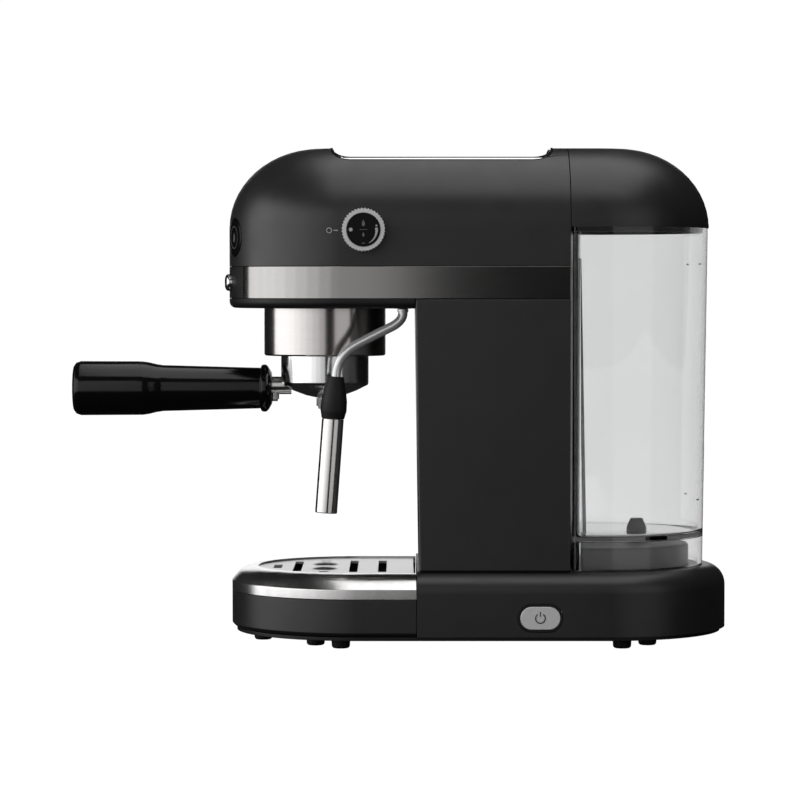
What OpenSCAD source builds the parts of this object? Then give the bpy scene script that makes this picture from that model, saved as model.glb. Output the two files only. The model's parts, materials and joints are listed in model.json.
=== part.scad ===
// Espresso machine: a slim tower with a rear water tank, a round-fronted drip tray,
// a lock-in portafilter and a swinging steam wand. Millimetres, +Z up.
// The front, where the handle points, faces -X. The steam side faces -Y.
// The origin is the middle of the whole footprint, at the surface it stands on.

/* [Base] */
// Front end of the base
base_front = -105.5; // [-110:0.5:-100]
// Back end of the base
base_back = 206; // [202:0.5:210]
// Half the width of the base
base_half = 79; // [78:0.5:82]
// Height of the base's flat top
base_top = 49; // [48:0.5:50]
// Height of the base walls' lower edge
base_low = 9.5; // [9:0.5:10]
// Radius of the rounding round the base's top edge
base_round = 13; // [8:0.5:14]
// Height of a rubber foot
foot_h = 7; // [6.5:0.5:7]

/* [Tower] */
// Front end of the head
head_front = -107; // [-109:0.5:-106]
// Back end of the tower
tower_back = 195.3; // [194:0.1:197]
// Half the width of the tower
tower_half = 71; // [70:0.5:72]
// Plane where the head and column end and the tank begins
tank_plane = 105; // [104:0.5:106]
// Front face of the column at its top
column_front = 10; // [9:0.5:12]
// How far the column's front face leans back on its way down
column_lean = 2.4; // [0:0.2:3]
// Underside of the head
head_low = 210; // [209:0.5:211]
// Lower edge of the metal band
band_low = 216; // [215:0.5:217]
// Upper edge of the metal band
band_high = 236; // [235:0.5:238]
// Top of the machine
head_top = 310; // [308:0.5:312]
// Reach of the shoulder rounding, measured inwards
shoulder_in = 56; // [50:0.5:60]
// Reach of the shoulder rounding, measured downwards
shoulder_down = 50; // [44:0.5:52]

/* [Group] */
// Distance of the brewing axis along X
group_x = -46.8; // [-48:0.2:-46]
// Outer radius of the steel collar
collar_r = 38.5; // [38:0.5:40]
// Lower edge of the steel collar
collar_low = 180; // [178:0.5:181]
// Outer radius of the portafilter bowl
bowl_r = 27.9; // [27.5:0.1:28.2]
// Height of the handle's axis
handle_z = 159.3; // [158:0.1:161]
// Free end of the handle
handle_end = -205.5; // [-208:0.5:-200]
// Turn of the portafilter from locked to released
unlock_deg = 45; // [35:1:50]

/* [Steam wand] */
// Place of the wand's swivel along X
wand_x = 2.4; // [2:0.1:3]
// Place of the wand's swivel along Y
wand_y = -52; // [-54:0.5:-51]
// Radius of the thin pipe
pipe_r = 2.9; // [2.6:0.1:3]
// Radius of the steel sleeve
sleeve_r = 6.8; // [6:0.1:7]

/* [Tank] */
// Height of the tank's floor
tank_floor = 69.5; // [69:0.5:71]
// Height of the tank's rim
tank_rim = 262; // [260:0.5:264]
// Wall thickness of the tank
tank_wall = 2.4; // [2:0.1:3]
// Narrowing of the tank from rim to foot, at the back
tank_taper = 3; // [0:0.5:4]

/* [Controls] */
// Outer radius of the steam knob
knob_r = 13.5; // [12:0.5:14]
// How far the knob stands out of the side
knob_out = 12; // [10:0.5:12.5]
// Place of the knob along X
knob_x = -21.6; // [-23:0.2:-20]
// Height of the knob's axis
knob_z = 258; // [256:0.5:259]
// Radius of a black selector disc
disc_r = 11.8; // [11:0.1:12]
// Radius of a chrome button
stud_r = 5.3; // [5:0.1:5.6]

/* [Hidden] */

$fn = 96;
gap = 0.3;
wall = 3;
fine = 0.05;
split_x = 11;
front_centre = head_front + tower_half;
back_centre = tower_back - tower_half;
base_front_centre = base_front + base_half;
head_back = tank_plane - 0.2;
frame_half = tower_half - 1.5;
black = [0.09, 0.09, 0.09];
dark = [0.17, 0.17, 0.18];
steel = [0.62, 0.61, 0.6];
chrome = [0.82, 0.82, 0.84];
band_angle = 31.4;
disc_angle = 20;
disc_z = 254;
stud_angle = 12;
stud_z = 226;
switch_x = 86.2;
switch_z = 21.3;
switch_half = 12.2;
switch_r = 7;
ring_low = 32.5;
ring_top = 47.5;
ring_reach = 62.5;
grate_low = 44.5;
grate_top = 46.3;
tray_back = split_x - gap;
dish_front = -43;
dish_back = 96;
dish_z = 302;
valve_x = 150.4;
pump_x = 62;
foot_spots = [[-36, 50], [-52, 33], [138, 50], [155, 32], [-86, 0]];
screw_spots = [[30, 58], [30, -58], [160, 52], [160, -52]];

// One quarter of an ellipse, from its outer side up to its top.
function shoulder(half, top, reach, down, steps = 14) = [
    for (i = [0 : steps])
        [half - reach + reach * cos(90 * i / steps), top - down + down * sin(90 * i / steps)]
];

// Half-outline of a rounded block, from its axis outwards, for turning or extruding.
function block_outline(half, low, top, reach, down) =
    concat([[0, low], [half, low]], shoulder(half, top, reach, down), [[0, top]]);

function mirrored(points) =
    concat(points, [for (i = [len(points) - 1 : -1 : 0]) [-points[i][0], points[i][1]]]);

// A half turn of an outline, bulging towards -X (end = -1) or +X (end = 1).
module half_turn(x, end, points) {
    translate([x, 0, 0])
        rotate([0, 0, end < 0 ? 90 : -90])
            rotate_extrude(angle = 180)
                polygon(points);
}

// A straight run of an outline along X.
module straight_run(x_from, x_to, points) {
    translate([x_from, 0, 0])
        rotate([90, 0, 90])
            linear_extrude(x_to - x_from)
                polygon(points);
}

// A block with a round front end and a flat back.
module front_block(front, back, half, points) {
    half_turn(front + half, -1, points);
    straight_run(front + half, back, mirrored(points));
}

// A block with a flat front and a round back end.
module back_block(front, back, half, points) {
    half_turn(back - half, 1, points);
    straight_run(front, back - half, mirrored(points));
}

// A straight-walled block with a round front.
module front_slab(front, back, half, low, top) {
    front_block(front, back, half, [[0, low], [half, low], [half, top], [0, top]]);
}

module back_slab(front, back, half, low, top) {
    back_block(front, back, half, [[0, low], [half, low], [half, top], [0, top]]);
}

// Cylinder whose axis lies along Y, between two places.
module y_rod(x, y_from, y_to, z, r) {
    translate([x, y_from, z])
        rotate([-90, 0, 0])
            cylinder(h = y_to - y_from, r = r);
}

// Cylinder whose axis lies along X.
module x_rod(x_from, x_to, y, z, r) {
    translate([x_from, y, z])
        rotate([0, 90, 0])
            cylinder(h = x_to - x_from, r = r);
}

// Places its children on the round front of the head, with +Z pointing outwards.
module on_front(angle, z, r = tower_half) {
    translate([front_centre, 0, z])
        rotate([0, 0, 180 + angle])
            translate([r, 0, 0])
                rotate([0, 90, 0])
                    children();
}

// Unit vector, and one ring of a swept tube.
function unit(v) = v / norm(v);
function route_way(p, i) = unit(p[min(i + 1, len(p) - 1)] - p[max(i - 1, 0)]);
function ring_at(p, i, r, sides, side_axis) =
    let (way = route_way(p, i), u = unit(cross(way, side_axis)), v = cross(way, u))
    [for (k = [0 : sides - 1]) p[i] + r * (cos(360 * k / sides) * u + sin(360 * k / sides) * v)];

// A round pipe swept along points that stay out of the direction of side_axis.
module swept_pipe(points, r, sides = 12, side_axis = [0, 1, 0]) {
    rings = len(points);
    verts = [for (i = [0 : rings - 1]) each ring_at(points, i, r, sides, side_axis)];
    walls = [
        for (i = [0 : rings - 2], k = [0 : sides - 1])
            [(i + 1) * sides + k, (i + 1) * sides + (k + 1) % sides,
             i * sides + (k + 1) % sides, i * sides + k]
    ];
    first = [for (k = [0 : sides - 1]) k];
    last = [for (k = [sides - 1 : -1 : 0]) (rings - 1) * sides + k];
    polyhedron(verts, concat(walls, [first, last]), convexity = 4);
}

// Points on a smooth bend from a to c around the corner b.
function bend(a, b, c, steps = 5) = [
    for (i = [0 : steps])
        let (t = i / steps) (1 - t) * (1 - t) * a + 2 * t * (1 - t) * b + t * t * c
];

// ---------------------------------------------------------------- base

module base_plate() {
    color(black)
        difference() {
            union() {
                front_slab(base_front + wall, 60, base_half - wall, foot_h, base_low - 0.1);
                back_slab(60, base_back - wall, base_half - wall, foot_h, base_low - 0.1);
            }
            for (spot = screw_spots)
                translate([spot[0], spot[1], foot_h - 1])
                    cylinder(h = 4, r = 3.2);
        }
}

module foot(x, y) {
    translate([x, y, 0])
        rotate_extrude()
            polygon([[0, 0], [4.6, 0], [5.6, 1], [6, foot_h], [0, foot_h]]);
}

module rubber_feet() {
    color(black)
        for (spot = foot_spots, side = spot[1] == 0 ? [1] : [1, -1])
            foot(spot[0], side * spot[1]);
}

module base_housing() {
    inner = base_half - wall;
    color(dark)
        difference() {
            union() {
                difference() {
                    back_block(split_x, base_back, base_half,
                        block_outline(base_half, base_low, base_top, base_round, base_round));
                    back_block(split_x + wall, base_back - wall, inner,
                        block_outline(inner, base_low - 1, base_top - wall, base_round, base_round));
                }
                for (spot = screw_spots)
                    translate([spot[0], spot[1], base_low])
                        cylinder(h = base_top - wall - base_low + 1, r = 4);
            }
            for (spot = screw_spots)
                translate([spot[0], spot[1], base_low - 1])
                    cylinder(h = 13, r = 1.6);
            switch_shape(-base_half - 1, -base_half + wall + 1, gap + 1.5);
            x_rod(base_back - 10, base_back + 1, 0, 22, 6.3);
            for (x = [valve_x, pump_x])
                translate([x, 0, base_top - wall - 1])
                    cylinder(h = wall + 2, r = 6.3);
        }
}

module base_screws() {
    color(steel)
        for (spot = screw_spots)
            translate([spot[0], spot[1], foot_h + 0.4]) {
                cylinder(h = 2, r = 3);
                cylinder(h = 12, r = 1.5);
            }
}

// The power switch's outline, run along Y and grown by extra.
module switch_shape(y_from, y_to, extra) {
    reach = switch_half - switch_r;
    for (side = [-1, 1])
        y_rod(switch_x + side * reach, y_from, y_to, switch_z, switch_r + extra);
    translate([switch_x - reach, y_from, switch_z - switch_r - extra])
        cube([2 * reach, y_to - y_from, 2 * (switch_r + extra)]);
}

module power_bezel() {
    color(black)
        difference() {
            switch_shape(-base_half, -base_half + 12, 1.5);
            switch_shape(-base_half - 1, -base_half + 10, gap);
        }
}

module power_button() {
    color(steel)
        switch_shape(-base_half - 0.4, -base_half + 6, 0);
}

module tank_seat() {
    color(dark)
        difference() {
            union() {
                back_block(113, 183, 57,
                    block_outline(57, base_top, 62.5, 2, 2));
                translate([valve_x, 0, base_top - 8])
                    cylinder(h = 10, r = 6);
            }
            translate([valve_x, 0, 40])
                cylinder(h = 30, r = 3.5);
            translate([valve_x, 0, 60.5])
                cylinder(h = 5, r = 11.5);
        }
}

module tank_seal_ring() {
    color([0.45, 0.12, 0.12])
        translate([valve_x, 0, 60.5])
            rotate_extrude()
                polygon([[6, 0], [11.4, 0], [11.4, 1.6], [9, 2.6], [7.5, 2.6], [6, 1.4]]);
}

module cord_inlet() {
    color(black)
        difference() {
            union() {
                x_rod(base_back - 9, base_back - 0.2, 0, 22, 6.25);
                x_rod(base_back - 9, base_back - wall - 1, 0, 22, 8.5);
            }
            x_rod(base_back - 20, base_back + 5, 0, 22, 3.6);
        }
}

// ---------------------------------------------------------------- tower

// Side view of the column, whose front face leans.
module column_profile(inset, over) {
    polygon([
        [column_front + column_lean + inset, base_top - over],
        [tank_plane - inset, base_top - over],
        [tank_plane - inset, band_low + over],
        [column_front + inset, band_low + over],
    ]);
}

module along_y(half) {
    translate([0, half, 0])
        rotate([90, 0, 0])
            linear_extrude(2 * half)
                children();
}

module column_shell() {
    color(dark)
        difference() {
            along_y(tower_half)
                column_profile(0, 0);
            along_y(tower_half - wall)
                column_profile(wall, 1);
        }
}

module head_underplate() {
    edge = 4;
    inner = tower_half - edge;
    outline = concat(
        [[0, head_low], [inner, head_low]],
        [for (i = [1 : 5]) [inner + edge * sin(18 * i), head_low + edge - edge * cos(18 * i)]],
        [[tower_half, band_low], [0, band_low]]);
    color(black)
        difference() {
            front_block(head_front, column_front - 0.2, tower_half, outline);
            translate([group_x, 0, head_low - 1])
                cylinder(h = 20, r = 24);
            translate([wand_x, wand_y, head_low - 1])
                cylinder(h = 20, r = 5.1);
        }
}

module head_frame() {
    color(black)
        difference() {
            front_slab(head_front + 1.5, head_back, frame_half, band_low, band_high);
            front_slab(head_front + 4.5, head_back - wall, frame_half - wall, band_low - 1, band_high + 1);
            for (side = [-1, 1])
                on_front(side * stud_angle, stud_z, tower_half - 8)
                    cylinder(h = 12, r = stud_r + gap);
        }
}

// A strip on the head's round front and sides, thick from r_in to r_out.
module front_strip(r_in, r_out, low, high, from_deg, to_deg) {
    translate([front_centre, 0, 0])
        rotate([0, 0, 180 + from_deg])
            rotate_extrude(angle = to_deg - from_deg)
                translate([r_in, low])
                    square([r_out - r_in, high - low]);
}

module metal_band() {
    low = band_low + 0.2;
    high = band_high - 0.2;
    color(steel)
        for (side = [-1, 1]) {
            front_strip(frame_half, tower_half, low, high,
                side > 0 ? band_angle : -90, side > 0 ? 90 : -band_angle);
            translate([front_centre, side > 0 ? frame_half : -tower_half, low])
                cube([head_back - front_centre, tower_half - frame_half, high - low]);
        }
}

module front_insert() {
    color(black)
        difference() {
            front_strip(frame_half, tower_half, band_low + 0.2, band_high - 0.2,
                -band_angle + 0.3, band_angle - 0.3);
            for (side = [-1, 1])
                on_front(side * stud_angle, stud_z, tower_half - 8)
                    cylinder(h = 12, r = stud_r + gap);
        }
}

// Side view of the saddle cut out of the head's top; drop lowers and widens it.
function saddle(drop, lift) = concat(
    [[dish_front - drop, head_top + lift]],
    [for (i = [0 : 6]) [dish_front + 13 - (13 + drop) * cos(15 * i), head_top - (8 + drop) * sin(15 * i)]],
    [for (i = [6 : -1 : 0]) [dish_back - 13 + (13 + drop) * cos(15 * i), head_top - (8 + drop) * sin(15 * i)]],
    [[dish_back + drop, head_top + lift]]);

module head_shell() {
    inner = tower_half - wall;
    color(dark)
        difference() {
            front_block(head_front, head_back, tower_half,
                block_outline(tower_half, band_high, head_top, shoulder_in, shoulder_down));
            difference() {
                front_block(head_front + wall, head_back - wall, inner,
                    block_outline(inner, band_high - 1, head_top - wall, shoulder_in - 2, shoulder_down - 1));
                along_y(100)
                    polygon(saddle(wall, 5));
            }
            along_y(100)
                polygon(saddle(0, 5));
            for (side = [-1, 1])
                on_front(side * disc_angle, disc_z, tower_half - 8)
                    cylinder(h = 14, r = disc_r + gap);
            y_rod(knob_x, -tower_half - 1, -tower_half + wall + 1, knob_z, 4);
        }
}

// Half the width of the head at the saddle's floor.
dish_half = tower_half - shoulder_in + shoulder_in * sqrt(1 - pow((shoulder_down - 8) / shoulder_down, 2));

module cup_tray() {
    color(steel)
        difference() {
            translate([dish_front + 13, -dish_half + 6.6, dish_z])
                cube([dish_back - dish_front - 26, 2 * dish_half - 13.2, 1.2]);
            for (i = [0 : 8], j = [-3 : 3])
                translate([dish_front + 22 + 11.9 * i, 11 * j, dish_z - 1])
                    cylinder(h = 4, r = 2, $fn = 24);
        }
}

// The polished rim that follows the saddle round the cup tray.
module cup_rail() {
    lip = 1.6;
    lip_wide = 3;
    color(chrome)
        intersection() {
            difference() {
                along_y(100)
                    polygon(saddle(0, 0.6));
                along_y(101)
                    polygon(saddle(-lip, 6));
                along_y(14)
                    polygon(saddle(1, 6));
                front_block(head_front + lip_wide, head_back + 1, tower_half - lip_wide,
                    block_outline(tower_half - lip_wide, band_high, head_top, shoulder_in, shoulder_down));
            }
            front_block(head_front, head_back, tower_half,
                block_outline(tower_half, band_high, head_top + 0.4, shoulder_in, shoulder_down));
        }
}

// ---------------------------------------------------------------- brewing group

module group_collar() {
    ledge = 29;
    color(steel)
        translate([group_x, 0, 0])
            difference() {
                union() {
                    rotate_extrude()
                        polygon([
                            [collar_r - 2.5, collar_low], [collar_r - 1, collar_low],
                            [collar_r, collar_low + 1], [collar_r, head_low], [collar_r - 2.5, head_low],
                        ]);
                    rotate_extrude()
                        polygon([
                            [ledge, collar_low + 1.5], [collar_r - 2, collar_low + 1.5],
                            [collar_r - 2, collar_low + 5], [ledge, collar_low + 5],
                        ]);
                }
                for (turn = [0, 180])
                    rotate([0, 0, turn + 90 - unlock_deg])
                        translate([26, -8, collar_low - 1])
                            cube([9.5, 16, 8]);
            }
}

module brew_head() {
    color(steel)
        translate([group_x, 0, 0])
            rotate_extrude()
                polygon([
                    [3, 197.5], [27, 197.5], [27, 200], [34, 200], [34, head_low - 0.2],
                    [23.5, head_low - 0.2], [23.5, 226], [3, 226],
                ]);
}

module group_gasket() {
    color(black)
        translate([group_x, 0, 195.4])
            rotate_extrude()
                polygon([[28, 0], [33, 0], [33, 4.6], [28, 4.6]]);
}

module shower_screen() {
    color(steel)
        translate([group_x, 0, 0])
            difference() {
                translate([0, 0, 196.2])
                    cylinder(h = 1.2, r = 24);
                for (ring = [0 : 2], i = [0 : 6 + 5 * ring])
                    rotate([0, 0, i * 360 / (7 + 5 * ring)])
                        translate([6 + 6 * ring, 0, 195])
                            cylinder(h = 4, r = 1, $fn = 16);
            }
}

module boiler() {
    color(steel)
        translate([group_x, 0, 226])
            difference() {
                rotate_extrude()
                    polygon([
                        [0, 0], [33, 0], [33, 4], [27, 4], [27, 34], [24, 38], [8, 38], [8, 44], [0, 44],
                    ]);
                for (turn = [0 : 90 : 270])
                    rotate([0, 0, turn + 45])
                        translate([30, 0, -1])
                            cylinder(h = 8, r = 1.6);
            }
}

module boiler_bolts() {
    color(steel)
        for (turn = [0 : 90 : 270])
            translate([group_x, 0, 226])
                rotate([0, 0, turn + 45])
                    translate([30, 0, 0]) {
                        cylinder(h = 4, r = 1.5);
                        translate([0, 0, 4])
                            cylinder(h = 2, r = 2.6, $fn = 6);
                    }
}

// ---------------------------------------------------------------- inner works

module pump() {
    color(dark)
        translate([pump_x, 0, 0]) {
            translate([0, 0, 80])
                cylinder(h = 50, r = 17);
            translate([0, 0, 66])
                cylinder(h = 14, r = 9);
            translate([0, 0, 130])
                cylinder(h = 16, r = 8);
        }
}

module pump_mounts() {
    color(black)
        for (z = [66, 138])
            translate([pump_x, 0, z])
                difference() {
                    translate([-22, -12, 0])
                        cube([62, 24, 6]);
                    translate([0, 0, -1])
                        cylinder(h = 8, r = z < 100 ? 9 : 8);
                }
}

module control_board() {
    color([0.1, 0.32, 0.16])
        translate([30, 60, 90])
            cube([60, 1.6, 80]);
    color(black)
        for (i = [0 : 2])
            translate([36 + 18 * i, 48, 100 + 18 * i])
                cube([13, 12, 15]);
}

module steam_valve() {
    color([0.7, 0.55, 0.25]) {
        y_rod(knob_x, -66, -44, knob_z, 9);
        y_rod(knob_x, -tower_half - 6, -66, knob_z, 3);
        translate([knob_x, -52, knob_z - 22])
            cylinder(h = 14, r = 4);
    }
}

module suction_hose() {
    color([0.8, 0.8, 0.8])
        swept_pipe(concat(
            [[valve_x, 0, 40.8]],
            bend([valve_x, 0, 36], [valve_x, 0, 26], [140, 0, 26]),
            bend([pump_x + 8, 0, 26], [pump_x, 0, 26], [pump_x, 0, 34]),
            [[pump_x, 0, 65.8]]), 3);
}

module pressure_pipe() {
    color([0.8, 0.8, 0.8])
        swept_pipe(concat(
            [[pump_x, 0, 146.2]],
            bend([pump_x, 0, 262], [pump_x, 0, 284], [pump_x - 22, 0, 284]),
            bend([-36, 0, 284], [group_x, 0, 284], [group_x, 0, 276]),
            [[group_x, 0, 270.2]]), 2);
}

module steam_pipe() {
    color(steel)
        swept_pipe(concat(
            [[knob_x, wand_y, knob_z - 22.2]],
            bend([knob_x, wand_y, 232], [knob_x, wand_y, 226], [knob_x + 6, wand_y, 226]),
            bend([wand_x - 6, wand_y, 226], [wand_x, wand_y, 226], [wand_x, wand_y, 222]),
            [[wand_x, wand_y, 219.2]]), 2);
}

module wand_socket() {
    color(black)
        translate([wand_x, wand_y, 0])
            difference() {
                union() {
                    translate([0, 0, head_low - 0.2])
                        cylinder(h = 8.2, r = 5);
                    translate([0, 0, band_low + 0.2])
                        cylinder(h = 2.8, r = 7.5);
                }
                translate([0, 0, head_low - 5])
                    cylinder(h = 12.5, r = pipe_r + fine);
            }
}

// ---------------------------------------------------------------- drip tray

module drip_tub() {
    skin = 2.5;
    inner = base_half - skin;
    color(dark)
        difference() {
            front_block(base_front, tray_back, base_half, [
                [0, base_low + gap], [base_half - 2, base_low + gap], [base_half, base_low + 2.3],
                [base_half, ring_low - 0.1], [0, ring_low - 0.1],
            ]);
            front_slab(base_front + skin, tray_back - skin, inner, base_low + gap + skin, ring_low + 1);
        }
}

module drip_ring() {
    outline = [
        [ring_reach - 3, grate_low - 2], [ring_reach + 1.5, grate_low - 2],
        [base_half - 2.6, ring_low + 4.4], [base_half - 2.6, ring_low], [base_half, ring_low],
        [base_half, ring_low + 6], [base_half - 1.9, ring_low + 8.4], [base_half - 4.4, ring_low + 11.3],
        [base_half - 7.4, ring_low + 13.4], [base_half - 11, ring_top - 0.4], [ring_reach + 1.6, ring_top],
        [ring_reach, ring_top],
        [ring_reach, grate_low], [ring_reach - 3, grate_low],
    ];
    color(chrome) {
        half_turn(base_front_centre, -1, outline);
        straight_run(base_front_centre, tray_back, outline);
        straight_run(base_front_centre, tray_back, [for (p = outline) [-p[0], p[1]]]);
    }
}

module drip_grate() {
    reach = ring_reach - 0.4;
    back = tray_back - 1.5;
    color(steel) {
        difference() {
            front_slab(base_front_centre - reach, back, reach, grate_low, grate_top);
            for (slot = [[-76.6, 24], [-63.8, 70], [-28.6, 82], [-10.5, 82]])
                translate([slot[0] - 2.6, -slot[1] / 2, grate_low - 1])
                    cube([5.2, slot[1], 4]);
            for (side = [-1, 1])
                translate([group_x - 3, side * 38 - 3, grate_low - 1])
                    cube([6, 6, 4]);
        }
        for (side = [-1, 1])
            translate([group_x, side * 16, grate_top - 0.2])
                rotate_extrude()
                    polygon([[0, 0], [9, 0], [7.6, 0.8], [4, 1.6], [0, 1.8]]);
    }
}

// ---------------------------------------------------------------- portafilter

// The bowl's outside from its bottom hole up to its rim.
bowl_outside = [
    [4, 153], [12, 154.8], [20, 157.8], [bowl_r - 0.8, 161.4], [bowl_r, 163.6], [bowl_r, 195],
];

module portafilter_bowl() {
    lip = collar_low + 5.4;
    color(chrome)
        translate([group_x, 0, 0]) {
            rotate_extrude()
                polygon(concat(bowl_outside, [
                    [bowl_r - 2, 195], [bowl_r - 2, 164.6], [19, 160.2], [12, 157.3], [4, 155.8],
                ]));
            for (turn = [0, 180])
                rotate([0, 0, turn])
                    intersection() {
                        rotate_extrude()
                            polygon([[bowl_r - 1, lip], [34.6, lip], [34.6, lip + 4], [bowl_r - 1, lip + 4]]);
                        translate([-7, 20, lip - 1])
                            cube([14, 20, 8]);
                    }
        }
}

module filter_basket() {
    color(steel)
        translate([group_x, 0, 0])
            rotate_extrude()
                polygon([
                    [0, 168], [21, 168], [25.4, 172], [25.4, 195.1], [27.5, 195.1], [27.5, 195.3],
                    [24.7, 195.3], [24.7, 172.4], [20.7, 168.7], [0, 168.7],
                ]);
}

module handle_neck() {
    color(chrome) {
        difference() {
            x_rod(-90, -68, 0, 161, 5.6);
            translate([group_x, 0, 0])
                rotate_extrude()
                    polygon(concat([[0, 152]], [for (p = bowl_outside) p + [0.03, -0.03]], [[0, 195]]));
        }
        translate([-79, 0, 152.4])
            cylinder(h = 5, r = 3.2);
    }
}

module neck_screw() {
    color(steel)
        translate([-79, 0, 151])
            cylinder(h = 1.4, r = 2.4);
}

module handle_grip() {
    color(black)
        difference() {
            translate([0, 0, handle_z])
                rotate([0, 90, 0])
                    rotate_extrude()
                        polygon([
                            [0, handle_end], [14, handle_end], [16.2, handle_end + 1.6], [17.2, handle_end + 4.6],
                            [17, -162], [16.4, -158], [15.2, -153], [14.6, -149], [12.9, -87.6],
                            [14.4, -87], [15, -86], [15, -84], [13.8, -82.6], [10, -80.3], [0, -80.3],
                        ]);
            x_rod(-90.1, -79, 0, 161, 5.65);
            translate([-79, 0, 150])
                cylinder(h = 9, r = 3.4);
        }
}

module coffee_spout() {
    color(chrome)
        translate([group_x, 0, 0])
            difference() {
                union() {
                    translate([0, 0, 148])
                        cylinder(h = 5, r = 5.5);
                    for (side = [-1, 1])
                        translate([0, side * 7.5, 146.5])
                            cylinder(h = 6.2, r1 = 4, r2 = 5.2);
                }
                for (side = [-1, 1])
                    translate([0, side * 7.5, 146])
                        cylinder(h = 5, r = 2.8);
            }
}

// ---------------------------------------------------------------- steam wand

// The wand's lower part hangs from here, leaning to the front.
wand_knee = [-38.8, wand_y, 169];
wand_lean = 4.2;
swivel_low = 207.8;

module wand_swivel() {
    color(chrome)
        translate([wand_x, wand_y, 0]) {
            translate([0, 0, swivel_low])
                cylinder(h = 216.5 - swivel_low, r = pipe_r);
            translate([0, 0, swivel_low])
                cylinder(h = 1.8, r = pipe_r + 0.5);
        }
}

module wand_pipe() {
    color(chrome)
        swept_pipe(concat(
            [[wand_x, wand_y, swivel_low]],
            bend([wand_x, wand_y, swivel_low - 0.5], [wand_x, wand_y, 201.8], [-6.2, wand_y, 197.9], 6),
            bend([-24, wand_y, 188.8], [-37.8, wand_y, 181.9], wand_knee, 8),
            [[-39.4, wand_y, 158]]), pipe_r, 24);
}

// Places its children on the wand's lower part, with +Z down the wand.
module down_wand() {
    translate(wand_knee)
        rotate([0, 180 + wand_lean, 0])
            children();
}

module wand_grip() {
    color(black)
        down_wand()
            rotate_extrude()
                polygon([
                    [pipe_r + 0.3, 1], [4.6, 1], [5, 1.6], [6.6, 8], [8, 16], [8.1, 22], [7.4, 25], [7, 26.8],
                    [sleeve_r, 27], [3.4, 27], [3.4, 14], [pipe_r + 0.3, 14],
                ]);
}

module wand_sleeve() {
    color(steel)
        down_wand()
            rotate_extrude()
                polygon([[5.8, 27.2], [sleeve_r, 27.2], [sleeve_r, 85], [sleeve_r - 0.3, 85.4], [5.8, 85.4]]);
}

module steam_nozzle() {
    color(steel)
        down_wand()
            rotate_extrude()
                polygon([[0, 27.4], [5.7, 27.4], [5.7, 34], [2.5, 36], [2.5, 80], [0, 82]]);
}

// ---------------------------------------------------------------- water tank

tank_front = tank_plane + 1;
tank_half = tower_half - 0.5;
tank_low = base_top + gap;

module tank_block(front, half, low, top, taper) {
    outline = [[0, low], [half - taper, low], [half, top], [0, top]];
    half_turn(back_centre, 1, outline);
    straight_run(front, back_centre, mirrored(outline));
}

// The hand recess in the tank's front wall: deeper at its foot, and grown by over on every side.
module pocket(over, half, low, top) {
    rotate([90, 0, 0])
        translate([0, 0, -half - over])
            linear_extrude(2 * (half + over))
                polygon([
                    [tank_front - 1, low], [tank_front + 7.6 + over, low],
                    [tank_front + 4.2 + over, top], [tank_front - 1, top],
                ]);
}

module tank_shell() {
    pocket_y = 46;
    pocket_low = tank_floor + tank_wall;
    pocket_top = 241 - tank_wall;
    inner = tank_half - tank_wall;
    color([0.85, 0.87, 0.88, 0.35])
        difference() {
            tank_block(tank_front, tank_half, tank_low, tank_rim, tank_taper);
            difference() {
                tank_block(tank_front + tank_wall, inner, tank_floor, tank_rim + 1, tank_taper - 0.3);
                pocket(tank_wall, pocket_y, tank_floor - 1, 241);
            }
            tank_block(tank_front + tank_wall, inner - tank_taper, tank_low - 1, tank_floor - tank_wall, 0);
            pocket(0, pocket_y, pocket_low, pocket_top);
            translate([valve_x, 0, tank_floor - 5])
                cylinder(h = 10, r = 5);
        }
}

module tank_valve() {
    color([0.45, 0.45, 0.46])
        translate([valve_x, 0, 0])
            rotate_extrude()
                polygon([
                    [0, 64.2], [4.2, 64.2], [4.2, 65.5], [4.9, 65.5], [4.9, tank_floor + 0.2], [6.4, tank_floor + 0.2],
                    [6.2, 71.6], [5.8, 72.6], [3.8, 77], [0, 77.2],
                ]);
}

module tank_valve_seal() {
    color(black)
        translate([valve_x, 0, tank_floor - tank_wall - 1.3])
            rotate_extrude()
                polygon([[5, 0], [8, 0], [8, 1.2], [5, 1.2]]);
}

// The lid's skirt, which drops inside the tank's rim.
module lid_skirt() {
    out = tank_half - tank_wall - 0.8;
    deep = tank_rim - 5;
    outline = [
        [out - 2, deep], [out, deep], [out, tank_rim + 0.6], [out + 1.8, tank_rim + 0.6],
        [out + 1.8, tank_rim + 2.5], [out - 2, tank_rim + 2.5],
    ];
    front = tank_front + tank_wall + 0.6;
    half_turn(back_centre, 1, outline);
    straight_run(front, back_centre, outline);
    straight_run(front, back_centre, [for (p = outline) [-p[0], p[1]]]);
    translate([front, 1 - out, deep])
        cube([2, 2 * (out - 1), 7.5]);
    translate([tank_plane + 1, -out - 1, tank_rim + 0.6])
        cube([front - tank_plane + 1, 2 * (out + 1), 1.9]);
}

module tank_lid() {
    skin = 2.5;
    inner = tower_half - skin;
    low = tank_rim + 0.5;
    color(dark)
        lid_skirt();
    color(dark)
        difference() {
            back_block(tank_plane + 0.2, tower_back, tower_half,
                block_outline(tower_half, low, head_top, shoulder_in, shoulder_down));
            back_block(tank_plane + 0.2 + skin, tower_back - skin, inner,
                block_outline(inner, low - 1, head_top - skin, shoulder_in - 2, shoulder_down - 1));
        }
}

// ---------------------------------------------------------------- controls

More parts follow.
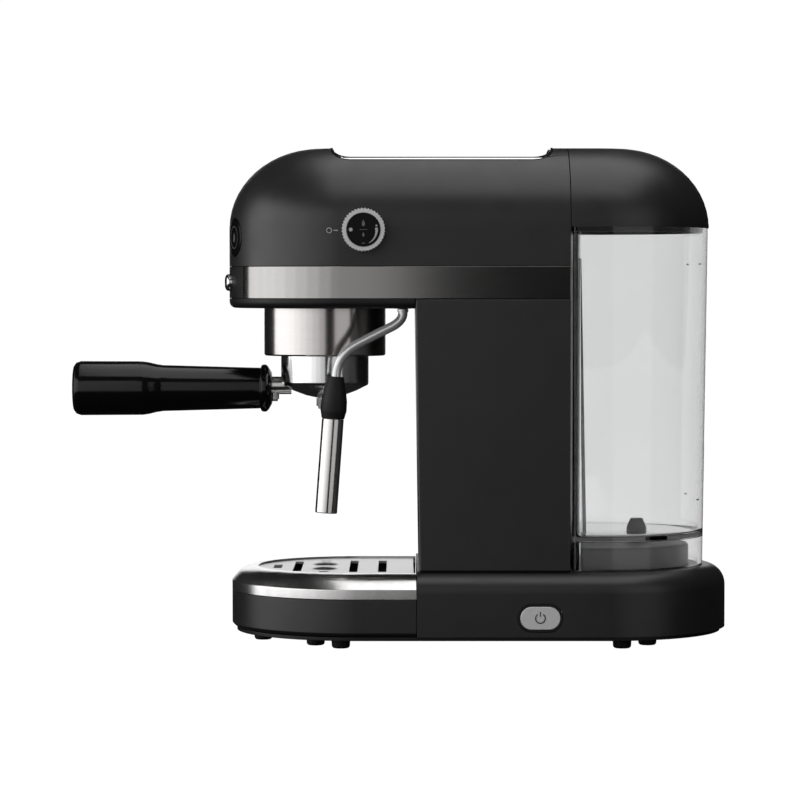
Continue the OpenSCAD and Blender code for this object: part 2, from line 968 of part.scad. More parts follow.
module knob_ring() {
    low = -tower_half - knob_out + 0.6;
    teeth = 40;
    color(chrome)
        difference() {
            union() {
                y_rod(knob_x, low, -tower_half - 0.4, knob_z, knob_r - 0.6);
                y_rod(knob_x, low + 1, low + 8, knob_z, knob_r - 0.2);
            }
            for (i = [0 : teeth - 1])
                translate([knob_x, low - 1, knob_z])
                    rotate([0, i * 360 / teeth, 0])
                        translate([knob_r, 0, 0])
                            rotate([-90, 0, 0])
                                cylinder(h = 10, r = 0.85, $fn = 16);
            y_rod(knob_x, low - 1, low + 3, knob_z, 10.4);
            y_rod(knob_x, low, -tower_half + 1, knob_z, 3 + fine);
        }
}

module knob_face() {
    color(black)
        y_rod(knob_x, -tower_half - knob_out, -tower_half - knob_out + 3.4, knob_z, 10.2);
}

module selector_disc(side) {
    color(black)
        on_front(side * disc_angle, disc_z, tower_half - 6)
            rotate_extrude()
                polygon([[0, 0], [disc_r, 0], [disc_r, 5], [disc_r - 1, 5.8], [0, 6.2]]);
}

module chrome_button(side) {
    color(chrome)
        on_front(side * stud_angle, stud_z, tower_half - 6)
            rotate_extrude()
                polygon([[0, 0], [stud_r, 0], [stud_r, 8], [4.6, 9], [3.2, 9.6], [0, 9.8]]);
}

base_plate();
rubber_feet();
base_housing();
base_screws();
tank_seat();
tank_seal_ring();
cord_inlet();
power_bezel();
column_shell();
head_underplate();
head_frame();
metal_band();
front_insert();
head_shell();
cup_tray();
cup_rail();
group_collar();
brew_head();
group_gasket();
shower_screen();
boiler();
boiler_bolts();
pump();
pump_mounts();
control_board();
steam_valve();
suction_hose();
pressure_pipe();
steam_pipe();
wand_socket();
drip_tub();
drip_ring();
drip_grate();
portafilter_bowl();
filter_basket();
handle_neck();
handle_grip();
neck_screw();
coffee_spout();
wand_swivel();
wand_pipe();
wand_grip();
wand_sleeve();
steam_nozzle();
tank_shell();
tank_valve();
tank_valve_seal();
tank_lid();
knob_ring();
knob_face();
power_button();
selector_disc(1);  // selector_disc_near
selector_disc(-1);  // selector_disc_far
chrome_button(1);  // chrome_button_near
chrome_button(-1);  // chrome_button_far
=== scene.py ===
import json
import math

import bmesh
import bpy
from mathutils import Matrix, Vector


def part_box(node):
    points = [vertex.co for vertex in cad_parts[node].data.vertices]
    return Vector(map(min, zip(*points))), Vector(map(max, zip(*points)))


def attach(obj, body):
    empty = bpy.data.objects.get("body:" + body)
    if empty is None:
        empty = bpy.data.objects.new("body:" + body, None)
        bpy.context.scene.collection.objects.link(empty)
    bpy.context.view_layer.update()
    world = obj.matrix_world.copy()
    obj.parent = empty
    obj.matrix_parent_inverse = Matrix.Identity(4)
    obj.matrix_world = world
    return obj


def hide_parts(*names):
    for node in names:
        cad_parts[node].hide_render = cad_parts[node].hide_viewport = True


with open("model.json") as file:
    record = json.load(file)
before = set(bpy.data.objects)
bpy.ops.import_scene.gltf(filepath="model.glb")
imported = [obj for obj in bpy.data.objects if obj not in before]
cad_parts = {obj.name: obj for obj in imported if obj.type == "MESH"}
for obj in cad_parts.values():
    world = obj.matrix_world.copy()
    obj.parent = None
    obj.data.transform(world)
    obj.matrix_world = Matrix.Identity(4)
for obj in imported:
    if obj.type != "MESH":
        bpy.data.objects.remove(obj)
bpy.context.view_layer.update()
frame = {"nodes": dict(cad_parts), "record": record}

MM = 0.001
GRAIN_DEPTH = 0.06 * MM   # of moulded plastic's fine grain
STROKE_DEPTH = 0.03 * MM  # of brushed steel's strokes
INK_THICK = 0.12 * MM     # of a printed mark
INK_GAP = 0.02 * MM       # between a mark's back and the surface it is printed on


# ---------------------------------------------------------------- measures from the frame

head_low, head_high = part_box("head_shell")
tank_low, tank_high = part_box("tank_shell")
knob_low, knob_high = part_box("knob_face")
button_low, button_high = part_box("power_button")

tower_half = head_high.y
tower_front_x = head_low.x + tower_half
knob_centre = (knob_low + knob_high) / 2
button_centre = (button_low + button_high) / 2


# ---------------------------------------------------------------- materials

class Nodes:
    """A material's node tree, with short calls for the nodes used here."""

    def __init__(self, name):
        self.material = bpy.data.materials.new(name)
        self.material.use_nodes = True
        self.tree = self.material.node_tree
        self.shader = self.tree.nodes["Principled BSDF"]

    def add(self, kind, **values):
        node = self.tree.nodes.new(kind)
        for key, value in values.items():
            if key in node.inputs:
                node.inputs[key].default_value = value
            else:
                setattr(node, key, value)
        return node

    def link(self, out, into):
        self.tree.links.new(out, into)

    def set(self, **values):
        for key, value in values.items():
            self.shader.inputs[key.replace("_", " ")].default_value = value

    def coords(self, scale=(1, 1, 1)):
        place = self.add("ShaderNodeTexCoord")
        mapping = self.add("ShaderNodeMapping")
        mapping.inputs["Scale"].default_value = scale
        self.link(place.outputs["Object"], mapping.inputs["Vector"])
        return mapping.outputs["Vector"]

    def noise(self, scale, stretch=(1, 1, 1), detail=3.0):
        node = self.add("ShaderNodeTexNoise", Scale=scale, Detail=detail)
        self.link(self.coords(stretch), node.inputs["Vector"])
        return node.outputs["Fac"]

    def spread(self, value, low, high):
        node = self.add("ShaderNodeMapRange")
        node.inputs["From Min"].default_value = 0.3
        node.inputs["From Max"].default_value = 0.7
        node.inputs["To Min"].default_value = low
        node.inputs["To Max"].default_value = high
        self.link(value, node.inputs["Value"])
        return node.outputs["Result"]

    def tint(self, value, dark, light):
        node = self.add("ShaderNodeValToRGB")
        node.color_ramp.elements[0].position = 0.3
        node.color_ramp.elements[0].color = (*dark, 1)
        node.color_ramp.elements[1].position = 0.7
        node.color_ramp.elements[1].color = (*light, 1)
        self.link(value, node.inputs["Fac"])
        self.link(node.outputs["Color"], self.shader.inputs["Base Color"])

    def bump(self, value, strength, distance):
        node = self.add("ShaderNodeBump")
        node.inputs["Strength"].default_value = strength
        node.inputs["Distance"].default_value = distance
        self.link(value, node.inputs["Height"])
        self.link(node.outputs["Normal"], self.shader.inputs["Normal"])


def moulded(name, dark, light, rough, grain=2600, relief=0.12, gloss=0.4):
    """Moulded plastic: a fine spark-eroded grain, with slow changes of tone and gloss."""
    n = Nodes(name)
    n.tint(n.noise(14, detail=4), dark, light)
    n.link(n.spread(n.noise(55), rough[0], rough[1]), n.shader.inputs["Roughness"])
    n.bump(n.noise(grain, detail=2), relief, GRAIN_DEPTH)
    n.set(Specular_IOR_Level=gloss)
    return n.material


def brushed(name, dark, light, rough, stretch, relief=0.25):
    """Steel brushed one way: the noise is drawn out along the strokes."""
    n = Nodes(name)
    strokes = n.noise(6000, stretch, detail=3)
    n.tint(strokes, dark, light)
    n.link(n.spread(strokes, rough[0], rough[1]), n.shader.inputs["Roughness"])
    n.bump(strokes, relief, STROKE_DEPTH)
    n.set(Metallic=1.0)
    return n.material


def polished(name, tone, rough):
    """Bright plating with faint wipe marks in its gloss."""
    n = Nodes(name)
    n.tint(n.noise(30), tuple(t * 0.93 for t in tone), tone)
    n.link(n.spread(n.noise(160, (1, 1, 0.2)), rough[0], rough[1]), n.shader.inputs["Roughness"])
    n.set(Metallic=1.0)
    return n.material


def clear_plastic(name):
    """Clear plastic, tinted at its surface and darkening a little with depth."""
    n = Nodes(name)
    n.link(n.spread(n.noise(40), 0.004, 0.014), n.shader.inputs["Roughness"])
    n.tint(n.noise(9), (0.875, 0.877, 0.88), (0.905, 0.907, 0.91))
    n.set(Transmission_Weight=1.0, IOR=1.49)
    depth = n.add("ShaderNodeVolumeAbsorption", Color=(0.5, 0.5, 0.5, 1), Density=40.0)
    n.link(depth.outputs["Volume"], n.tree.nodes["Material Output"].inputs["Volume"])
    return n.material


def silver_paint(name, dark, light, rough, metal):
    """Silver lacquer: part metal, part pale pigment, with a fine flake in it."""
    n = Nodes(name)
    n.tint(n.noise(2200, detail=2), dark, light)
    n.link(n.spread(n.noise(90), rough[0], rough[1]), n.shader.inputs["Roughness"])
    n.set(Metallic=metal)
    return n.material


def ink(name, tone):
    """Printed ink, slightly uneven."""
    n = Nodes(name)
    n.tint(n.noise(900), tuple(t * 0.85 for t in tone), tone)
    n.link(n.spread(n.noise(700), 0.4, 0.6), n.shader.inputs["Roughness"])
    return n.material


DRAWN_OUT = 0.006  # scale of the noise along the brush strokes
RING_STROKES = (DRAWN_OUT, DRAWN_OUT, 1)
LONG_STROKES = (DRAWN_OUT, 1, 1)
DOWN_STROKES = (1, 1, DRAWN_OUT)

LOOKS = {
    "shell": moulded("shell", (0.02, 0.019, 0.0192), (0.024, 0.0228, 0.023), (0.35, 0.41), gloss=0.7),
    "trim_black": moulded("trim_black", (0.010, 0.010, 0.010), (0.015, 0.015, 0.015), (0.42, 0.52)),
    "grip_black": moulded("grip_black", (0.004, 0.004, 0.004), (0.006, 0.006, 0.006), (0.13, 0.18), 1800, 0.03),
    "display_black": moulded("display_black", (0.002, 0.002, 0.002), (0.004, 0.004, 0.004), (0.26, 0.32),
                             900, 0.01, gloss=0.2),
    "rubber": moulded("rubber", (0.008, 0.008, 0.008), (0.013, 0.013, 0.013), (0.48, 0.6), 3200, 0.25),
    "brushed_steel": brushed("brushed_steel", (0.47, 0.45, 0.44), (0.53, 0.51, 0.498), (0.16, 0.21),
                             RING_STROKES, 0.05),
    "polished_chrome": polished("polished_chrome", (0.84, 0.84, 0.85), (0.05, 0.09)),
    "satin_chrome": polished("satin_chrome", (0.84, 0.83, 0.825), (0.2, 0.26)),
    "clear_tank": clear_plastic("clear_tank"),
    "grey_plastic": moulded("grey_plastic", (0.10, 0.10, 0.103), (0.13, 0.13, 0.133), (0.4, 0.5)),
    "red_silicone": moulded("red_silicone", (0.20, 0.05, 0.05), (0.27, 0.075, 0.07), (0.45, 0.55)),
    "brass": brushed("brass", (0.55, 0.4, 0.18), (0.68, 0.52, 0.26), (0.25, 0.35), RING_STROKES),
    "board_green": moulded("board_green", (0.02, 0.11, 0.05), (0.03, 0.16, 0.07), (0.25, 0.35)),
    "hose_white": moulded("hose_white", (0.6, 0.6, 0.59), (0.72, 0.72, 0.71), (0.3, 0.4)),
    "cast_aluminium": brushed("cast_aluminium", (0.42, 0.42, 0.43), (0.56, 0.56, 0.57), (0.4, 0.55), (1, 1, 1)),
}
band_steel = brushed("band_steel", (0.36, 0.352, 0.345), (0.41, 0.401, 0.393), (0.11, 0.15), LONG_STROKES, 0.03)
collar_steel = brushed("collar_steel", (0.6, 0.572, 0.56), (0.67, 0.64, 0.627), (0.15, 0.2), RING_STROKES, 0.04)
pipe_steel = silver_paint("pipe_steel", (0.9, 0.9, 0.9), (0.96, 0.96, 0.96), (0.16, 0.22), 0.5)
bowl_steel = polished("bowl_steel", (0.9, 0.9, 0.905), (0.12, 0.16))
sleeve_steel = brushed("sleeve_steel", (0.72, 0.7, 0.69), (0.8, 0.78, 0.77), (0.14, 0.19), DOWN_STROKES, 0.04)
grate_steel = brushed("grate_steel", (0.62, 0.62, 0.62), (0.74, 0.74, 0.735), (0.26, 0.36), LONG_STROKES, 0.12)
button_silver = silver_paint("button_silver", (0.9, 0.9, 0.9), (0.96, 0.96, 0.96), (0.26, 0.32), 0.05)
knob_silver = silver_paint("knob_silver", (0.88, 0.88, 0.88), (0.95, 0.95, 0.95), (0.2, 0.26), 0.1)
white_ink = ink("white_ink", (0.62, 0.62, 0.62))
grey_ink = ink("grey_ink", (0.2, 0.2, 0.2))
dark_ink = ink("dark_ink", (0.03, 0.03, 0.03))

slot_of = {s["node"]: s["material_slot"] for s in frame["record"]["subparts"]}
body_of = {n: b for b, members in frame["record"]["behaviour"]["bodies"].items() for n in members}


# ---------------------------------------------------------------- mesh helpers

def set_material(obj, material):
    obj.data.materials.clear()
    obj.data.materials.append(material)


def new_piece(name, mesh_data, body, material):
    """Links a finished mesh as a piece that rides on a body."""
    obj = bpy.data.objects.new(name, mesh_data)
    bpy.context.scene.collection.objects.link(obj)
    set_material(obj, material)
    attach(obj, body)
    return obj


def apply_modifiers(obj):
    depsgraph = bpy.context.evaluated_depsgraph_get()
    obj.data = bpy.data.meshes.new_from_object(obj.evaluated_get(depsgraph))
    obj.modifiers.clear()


def mesh_from(bm, name):
    mesh = bpy.data.meshes.new(name)
    bm.to_mesh(mesh)
    bm.free()
    return mesh


def smooth(mesh, degrees=32):
    for polygon in mesh.polygons:
        polygon.use_smooth = True
    mesh.set_sharp_from_angle(angle=math.radians(degrees))


def level_normals(piece):
    """Large faces keep their own normals, so that only the rounded edges shade as curves."""
    modifier = piece.modifiers.new("normals", "WEIGHTED_NORMAL")
    modifier.mode = "FACE_AREA"
    modifier.keep_sharp = True
    apply_modifiers(piece)


def dress(node, bevel=0.4 * MM, material=None, degrees=32):
    """Stands for a CAD node with the same shape, its edges softened and its round faces smooth."""
    source = frame["nodes"][node]
    bm = bmesh.new()
    bm.from_mesh(source.data)
    bmesh.ops.remove_doubles(bm, verts=bm.verts, dist=0.004 * MM)
    if bevel:
        bmesh.ops.dissolve_limit(bm, angle_limit=math.radians(0.6), verts=bm.verts, edges=bm.edges)
    mesh = mesh_from(bm, node + "_look")
    smooth(mesh, degrees)
    slot = slot_of[node]
    piece = new_piece(node + "_look", mesh, body_of[node], material or LOOKS[slot])
    if bevel:
        rounding = piece.modifiers.new("edges", "BEVEL")
        rounding.width = bevel
        rounding.segments = 3
        rounding.limit_method = "ANGLE"
        rounding.angle_limit = math.radians(degrees)
        rounding.use_clamp_overlap = True
        rounding.harden_normals = False
        apply_modifiers(piece)
        set_material(piece, material or LOOKS[slot])
        smooth(piece.data, degrees + 8)
    level_normals(piece)
    set_material(piece, material or LOOKS[slot])
    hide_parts(node)
    return piece


def flat_mark(name, outlines, body, place, material):
    """A thin printed mark: outlines in its own plane, raised, then put in place."""
    bm = bmesh.new()
    for outline in outlines:
        face = bm.faces.new([bm.verts.new((x, y, 0)) for x, y in outline])
        grown = bmesh.ops.extrude_face_region(bm, geom=[face])
        top = [v for v in grown["geom"] if isinstance(v, bmesh.types.BMVert)]
        bmesh.ops.translate(bm, vec=(0, 0, INK_THICK), verts=top)
    bmesh.ops.recalc_face_normals(bm, faces=bm.faces)
    bm.transform(place)
    mesh = mesh_from(bm, name)
    return new_piece(name, mesh, body, material)


def arc_band(r_in, r_out, start, stop, steps=40, centre=(0, 0), taper=1.0):
    """Outlines of a bent strip from start to stop degrees; taper is its width at the end."""
    quads = []
    for i in range(steps):
        a = math.radians(start + (stop - start) * i / steps)
        b = math.radians(start + (stop - start) * (i + 1) / steps)
        wide_a = 1 + (taper - 1) * i / steps
        wide_b = 1 + (taper - 1) * (i + 1) / steps
        in_a, in_b = r_out - (r_out - r_in) * wide_a, r_out - (r_out - r_in) * wide_b
        quads.append([
            (centre[0] + in_a * math.cos(a), centre[1] + in_a * math.sin(a)),
            (centre[0] + r_out * math.cos(a), centre[1] + r_out * math.sin(a)),
            (centre[0] + r_out * math.cos(b), centre[1] + r_out * math.sin(b)),
            (centre[0] + in_b * math.cos(b), centre[1] + in_b * math.sin(b)),
        ])
    return quads


def bar(x, y, wide, high):
    return [(x - wide / 2, y - high / 2), (x + wide / 2, y - high / 2),
            (x + wide / 2, y + high / 2), (x - wide / 2, y + high / 2)]


def dot(radius, centre, steps):
    return [(centre[0] + radius * math.cos(t), centre[1] + radius * math.sin(t))
            for t in [2 * math.pi * i / steps for i in range(steps)]]


def drop(size, centre=(0, 0), steps=24):
    """A water drop's outline, pointed at the top."""
    points = []
    for i in range(steps):
        t = 2 * math.pi * i / steps
        points.append((centre[0] + size * 0.62 * math.sin(t) * math.sin(t / 2),
                       centre[1] + size * math.cos(t)))
    return points


def side_place(x, z, y):
    """A mark's plane on the steam side: its X runs to the back, its Y upwards, facing -Y."""
    return Matrix(((1, 0, 0, x), (0, 0, -1, y), (0, 1, 0, z), (0, 0, 0, 1)))


def front_place(degrees, z, out):
    """A mark's plane on the head's round front, out from the tower's axis."""
    a = math.radians(180 + degrees)
    outward = Vector((math.cos(a), math.sin(a), 0))
    across = Vector((-outward.y, outward.x, 0))
    at = Vector((tower_front_x, 0, z)) + outward * out
    return Matrix(((across.x, 0, outward.x, at.x), (across.y, 0, outward.y, at.y),
                   (0, 1, 0, at.z), (0, 0, 0, 1)))


# ---------------------------------------------------------------- stage, lights and camera

def make_stage():
    """A pale floor that curves up into a bright backdrop."""
    deep, rise, radius, half = 1.6, 2.6, 0.7, 4.0
    near, under = -3.2, 0.2 * MM
    profile = [(near, 0)]
    profile += [(deep - radius + radius * math.sin(a), radius - radius * math.cos(a))
                for a in [math.radians(90 * i / 12) for i in range(13)]]
    profile += [(deep, rise)]
    bm = bmesh.new()
    rows = [[bm.verts.new((x, y, z - under)) for x in (-half, half)] for y, z in profile]
    for a, b in zip(rows, rows[1:]):
        bm.faces.new((a[0], a[1], b[1], b[0]))
    mesh = mesh_from(bm, "stage")
    smooth(mesh)
    obj = bpy.data.objects.new("stage", mesh)
    bpy.context.scene.collection.objects.link(obj)
    n = Nodes("stage_white")
    n.set(Base_Color=(0.04, 0.04, 0.04, 1), Roughness=0.9, Emission_Color=(1, 1, 1, 1), Emission_Strength=1.0)
    set_material(obj, n.material)
    obj.visible_glossy = False
    obj.visible_diffuse = False


def softbox(name, at, aim, size, power):
    light = bpy.data.lights.new(name, "AREA")
    light.shape = "RECTANGLE"
    light.size, light.size_y = size
    light.energy = power
    obj = bpy.data.objects.new(name, light)
    obj.location = at
    obj.rotation_euler = (Vector(aim) - Vector(at)).to_track_quat("-Z", "Y").to_euler()
    obj.visible_transmission = False
    bpy.context.scene.collection.objects.link(obj)


def around(azimuth, distance, height):
    """A place round the object: azimuth in degrees from the camera's side, positive to the right."""
    a = math.radians(azimuth)
    return (distance * math.sin(a), -distance * math.cos(a), height)


def make_lights():
    """A row of boxes that dims from the left to the camera, one to the right, one overhead and one behind."""
    world = bpy.data.worlds.new("studio")
    world.use_nodes = True
    background = world.node_tree.nodes["Background"]
    background.inputs["Color"].default_value = (1, 1, 1, 1)
    background.inputs["Strength"].default_value = 0.012
    bpy.context.scene.world = world
    middle, height = (0.0, 0, 0.2), 0.45
    first, step, dims_from, fall, full_power = -101, 11.9, -70, 0.73, 2.35
    for i in range(9):
        azimuth = first + step * i
        bright = min(1.0, 1.0 - fall * (azimuth - dims_from) / 70)
        softbox("left_%d" % i, around(azimuth, 1.6, height), middle, (0.345, 1.3), full_power * bright)
    softbox("right_front", around(38, 1.7, height), middle, (1.3, 1.3), 2.9)
    softbox("overhead", (0.35, -0.1, 1.75), (0.35, -0.1, 0), (1.5, 2.3), 15)
    softbox("behind", (0, 1.5, 0.34), (0, 0, 0.1), (1.0, 0.6), 2.2)


def make_camera():
    camera = bpy.data.cameras.new("camera")
    camera.sensor_width = 36
    camera.lens = 145.2
    obj = bpy.data.objects.new("camera", camera)
    across, away, height, aim_height = 0.0006, 2.04, 0.225, 0.1517
    obj.location = (across, -away, height)
    aim = Vector((across, 0, aim_height))
    obj.rotation_euler = (aim - obj.location).to_track_quat("-Z", "Y").to_euler()
    bpy.context.scene.collection.objects.link(obj)
    bpy.context.scene.camera = obj


bpy.context.scene.view_settings.view_transform = "Standard"
make_stage()
make_lights()
make_camera()


# ---------------------------------------------------------------- CAD pieces, dressed

# Widths of the softened edges in millimetres; a node left out keeps its sharp edges.
EDGES = {
    "base_housing": 0.5, "drip_tub": 0.5, "base_plate": 0.4, "rubber_feet": 0.5, "column_shell": 1.2,
    "head_shell": 0.35, "tank_lid": 0.35, "head_underplate": 0.3, "metal_band": 0.2, "front_insert": 0.2,
    "cup_tray": 0.2, "cup_rail": 0.3, "group_collar": 0.3, "brew_head": 0.3, "drip_ring": 0.35,
    "drip_grate": 0.2, "portafilter_bowl": 0.35, "handle_neck": 0.5, "handle_grip": 0.35,
    "coffee_spout": 0.35, "wand_grip": 0.3, "wand_sleeve": 0.2, "tank_seat": 0.5, "tank_valve": 0.2,
    "knob_ring": 0.12, "knob_face": 0.3, "power_button": 0.5, "power_bezel": 0.25,
    "selector_disc_near": 0.2, "selector_disc_far": 0.2, "chrome_button_near": 0.2, "chrome_button_far": 0.2,
    "neck_screw": 0.2, "cord_inlet": 0.3, "wand_socket": 0.3, "wand_swivel": 0.3,
}
SPECIAL = {"power_button": button_silver, "knob_ring": knob_silver, "metal_band": band_steel,
           "group_collar": collar_steel, "coffee_spout": pipe_steel, "portafilter_bowl": bowl_steel,
           "wand_swivel": pipe_steel, "wand_sleeve": sleeve_steel, "drip_grate": grate_steel,
           "cup_tray": grate_steel}
REPLACED_LATER = ("wand_pipe", "tank_shell")

for name in sorted(frame["nodes"]):
    if name not in REPLACED_LATER:
        dress(name, EDGES.get(name, 0) * MM, SPECIAL.get(name))


# ---------------------------------------------------------------- steam wand's pipe

def tube_along(name, points, radius, body, material, sides=24):
    """A smooth round tube on a curve through the points, turned into a mesh."""
    curve = bpy.data.curves.new(name, "CURVE")
    curve.dimensions = "3D"
    curve.bevel_depth = radius
    curve.bevel_resolution = sides // 4
    curve.resolution_u = 10
    curve.use_fill_caps = True
    spline = curve.splines.new("BEZIER")
    spline.bezier_points.add(len(points) - 1)
    for point, at in zip(spline.bezier_points, points):
        point.co = at
        point.handle_left_type = point.handle_right_type = "AUTO"
    temp = bpy.data.objects.new(name + "_curve", curve)
    bpy.context.scene.collection.objects.link(temp)
    depsgraph = bpy.context.evaluated_depsgraph_get()
    mesh = bpy.data.meshes.new_from_object(temp.evaluated_get(depsgraph))
    bpy.data.objects.remove(temp)
    smooth(mesh, 50)
    return new_piece(name, mesh, body, material)


pipe_low, pipe_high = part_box("wand_pipe")
wand_y = (pipe_low.y + pipe_high.y) / 2
pipe_r = (pipe_high.y - pipe_low.y) / 2
swivel_x = pipe_high.x - pipe_r


def bend(a, b, c, steps=6):
    """Points on a smooth bend from a to c round the corner b."""
    points = []
    for i in range(steps + 1):
        t = i / steps
        points.append(tuple((1 - t) ** 2 * p + 2 * t * (1 - t) * q + t * t * r
                            for p, q, r in zip(a, b, c)))
    return points


# X and Z of the pipe's middle line, from the swivel down to the grip.
pipe_route = [(swivel_x, 0.2085)]
pipe_route += bend((swivel_x, 0.2073), (swivel_x, 0.2018), (-0.0062, 0.1979))
pipe_route += bend((-0.024, 0.1888), (-0.0378, 0.1819), (-0.0388, 0.169))
pipe_route += [(-0.0394, 0.158)]
wand_pipe = tube_along("wand_pipe_look", [(x, wand_y, z) for x, z in pipe_route], pipe_r, "steam_wand",
                       pipe_steel, 32)
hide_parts("wand_pipe")


# ---------------------------------------------------------------- water tank

def tank_outline(front, half, back_x, corner, steps=56):
    """Plan of the tank: a flat front with small corners, straight sides and a round back."""
    points = []
    corner_steps = 8
    for i in range(corner_steps + 1):
        a = math.radians(90 * i / corner_steps)
        points.append((front + corner - corner * math.cos(a), -half + corner - corner * math.sin(a)))
    points += [(front + (back_x - front) * t, -half) for t in (0.5, 0.96)]
    near_side = len(points)
    for i in range(steps + 1):
        a = math.radians(-90 + 180 * i / steps)
        points.append((back_x + half * math.cos(a), half * math.sin(a)))
    mirrored = [(x, -y) for x, y in reversed(points[:near_side])]
    return points + mirrored


def make_tank():
    """The clear tank as clean rings: outer wall, rim, inner wall, floor, and the foot's hollow."""
    half = tank_high.y
    low, rim = tank_low.z, tank_high.z
    back_x = tank_high.x - half
    front = tank_low.x
    wall, taper, floor = 2.4 * MM, 3.0 * MM, low + 20.2 * MM
    inner = half - wall
    foot = inner - taper

    def lean(z):
        """How far the tapered sides have drawn in at a height."""
        return (rim - z) / (rim - low) * taper

    rings = []

    def ring(z, side, front_x, corner):
        rings.append((z, tank_outline(front_x, side, back_x, corner)))

    outer_corner, inner_corner = 2 * MM, 3 * MM
    for z, pull in ((low, 0.5), (low + 0.15 * MM, 0.15), (low + 0.5 * MM, 0), (rim - 0.7 * MM, 0),
                    (rim - 0.2 * MM, 0.2), (rim, 0.7)):
        ring(z, half - lean(z) - pull * MM, front + pull * MM, outer_corner)
    fillet = 2.2 * MM
    for z, pull in ((rim, -0.5), (rim - 0.3 * MM, 0)):
        ring(z, inner - lean(z) - pull * MM, front + wall + pull * MM, inner_corner)
    fillet_steps = 6
    for i in range(fillet_steps + 1):
        a = math.radians(90 * i / fillet_steps)
        z = floor + fillet - fillet * math.sin(a)
        pull = fillet * (1 - math.cos(a))
        ring(z, inner - lean(z) - pull, front + wall + pull, inner_corner)
    floor_top = len(rings) - 1
    soft_roof, soft_foot = 0.6 * MM, 0.3 * MM
    ring(floor - wall, foot - soft_roof, front + wall + soft_roof, inner_corner)
    ring(floor - wall - soft_roof, foot, front + wall, inner_corner)
    ring(low + soft_foot, foot, front + wall, inner_corner)
    ring(low, foot + soft_foot, front + wall - soft_foot, inner_corner)

    bm = bmesh.new()
    loops = [[bm.verts.new((x, y, z)) for x, y in points] for z, points in rings]
    count = len(loops[0])
    for index, a in enumerate(loops):
        if index == floor_top:
            continue
        b = loops[(index + 1) % len(loops)]
        for k in range(count):
            bm.faces.new((a[k], a[(k + 1) % count], b[(k + 1) % count], b[k]))
    bm.faces.new(loops[floor_top])
    bm.faces.new(list(reversed(loops[floor_top + 1])))
    bmesh.ops.recalc_face_normals(bm, faces=bm.faces)
    mesh = mesh_from(bm, "tank_look")
    smooth(mesh, 38)
    piece = new_piece("tank_look", mesh, "water_tank", LOOKS["clear_tank"])
    level_normals(piece)
    set_material(piece, LOOKS["clear_tank"])
    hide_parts("tank_shell")


def make_tank_recess():
    """The slanted wall of the hand recess, which shows through the tank as two thin lines."""
    front = tank_low.x
    z_low, z_high = tank_low.z + 20.6 * MM, tank_high.z - 21 * MM
    half, wall = 48 * MM, 2.2 * MM
    foot_x, top_x = front + 7.6 * MM, front + 4.2 * MM
    side = [(foot_x, z_low), (foot_x + wall, z_low), (top_x + wall, z_high), (top_x, z_high)]
    bm = bmesh.new()
    near = [bm.verts.new((x, -half, z)) for x, z in side]
    far = [bm.verts.new((x, half, z)) for x, z in side]
    bm.faces.new(near)
    bm.faces.new(list(reversed(far)))
    for k in range(4):
        bm.faces.new((near[k], far[k], far[(k + 1) % 4], near[(k + 1) % 4]))
    bmesh.ops.recalc_face_normals(bm, faces=bm.faces)
    bmesh.ops.bevel(bm, geom=bm.edges[:], offset=0.5 * MM, segments=3, affect="EDGES")
    mesh = mesh_from(bm, "tank_recess")
    smooth(mesh, 38)
    piece = new_piece("tank_recess", mesh, "water_tank", LOOKS["clear_tank"])
    level_normals(piece)
    set_material(piece, LOOKS["clear_tank"])


make_tank()
make_tank_recess()


# ---------------------------------------------------------------- printed marks

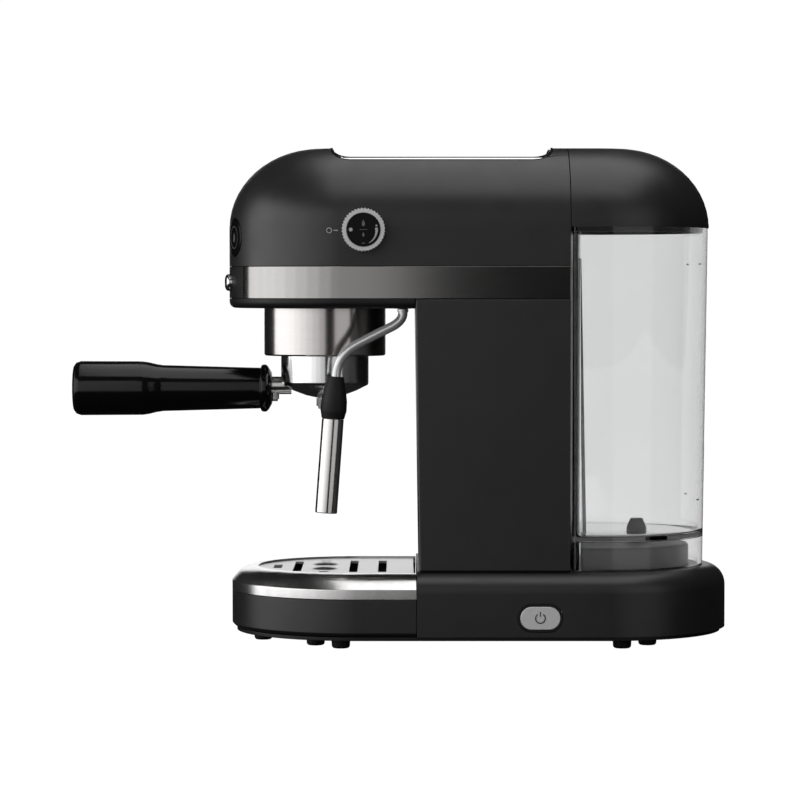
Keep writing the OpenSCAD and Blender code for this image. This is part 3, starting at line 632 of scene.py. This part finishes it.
knob_place = side_place(knob_centre.x, knob_centre.z, knob_low.y - INK_GAP)
knob_marks = arc_band(7.0 * MM, 8.8 * MM, 8, -68, 30, taper=0.12)
knob_marks += [dot(0.6 * MM, (7.9 * MM, 2.4 * MM), 20)]
flat_mark("knob_steam_scale", knob_marks, "steam_knob", knob_place, white_ink)
knob_signs = [drop(2.0 * MM, (0, 4.0 * MM)), bar(0, 0, 4.6 * MM, 0.3 * MM),
              drop(1.4 * MM, (0, -2.9 * MM)), bar(0, -8.2 * MM, 1.6 * MM, 0.5 * MM)]
flat_mark("knob_signs", knob_signs, "steam_knob", knob_place, grey_ink)
flat_mark("knob_off_dot", [dot(1.15 * MM, (-7.7 * MM, 0), 28)], "steam_knob", knob_place,
          white_ink)

pointer = arc_band(1.25 * MM, 1.75 * MM, 0, 360, 36) + [bar(4.0 * MM, 0, 2.6 * MM, 0.6 * MM)]
flat_mark("knob_pointer", pointer, "machine",
          side_place(knob_centre.x - 21 * MM, knob_centre.z - 0.3 * MM, head_low.y + INK_GAP),
          white_ink)

power_sign = arc_band(2.6 * MM, 3.3 * MM, 125, 415, 40) + [bar(0, 2.6 * MM, 0.6 * MM, 3.0 * MM)]
flat_mark("power_sign", power_sign, "power_switch",
          side_place(button_centre.x, button_centre.z, button_low.y - INK_GAP), dark_ink)

for name, side in (("near", 1), ("far", -1)):
    disc_low, disc_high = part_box("selector_disc_" + name)
    disc_z = (disc_low.z + disc_high.z) / 2
    place = front_place(20 * side, disc_z, tower_half + 0.12 * MM)
    flat_mark("selector_ring_" + name, arc_band(6.6 * MM, 7.0 * MM, 0, 360, 48), "selector_" + name, place,
              grey_ink)
    flat_mark("selector_sign_" + name, [drop(3.0 * MM)], "selector_" + name, place, grey_ink)


def make_level_marks():
    """Short level lines on the tank's back wall, at the full and the empty level."""
    long, deep, thick = 2.2 * MM, 0.5 * MM, 0.8 * MM
    x, apart = tank_high.x - 8.5 * MM, 28.5 * MM
    for level, z in (("full", 0.2375), ("empty", 0.0905)):
        for mark, y in (("a", -apart), ("b", apart)):
            name = "level_" + level + "_" + mark
            bm = bmesh.new()
            bmesh.ops.create_cube(bm, size=1)
            bm.transform(Matrix.Translation((x, y, z)) @ Matrix.Diagonal((long, deep, thick, 1)))
            bmesh.ops.bevel(bm, geom=bm.edges[:], offset=0.1 * MM, segments=2, affect="EDGES")
            new_piece(name, mesh_from(bm, name), "water_tank", dark_ink)


make_level_marks()
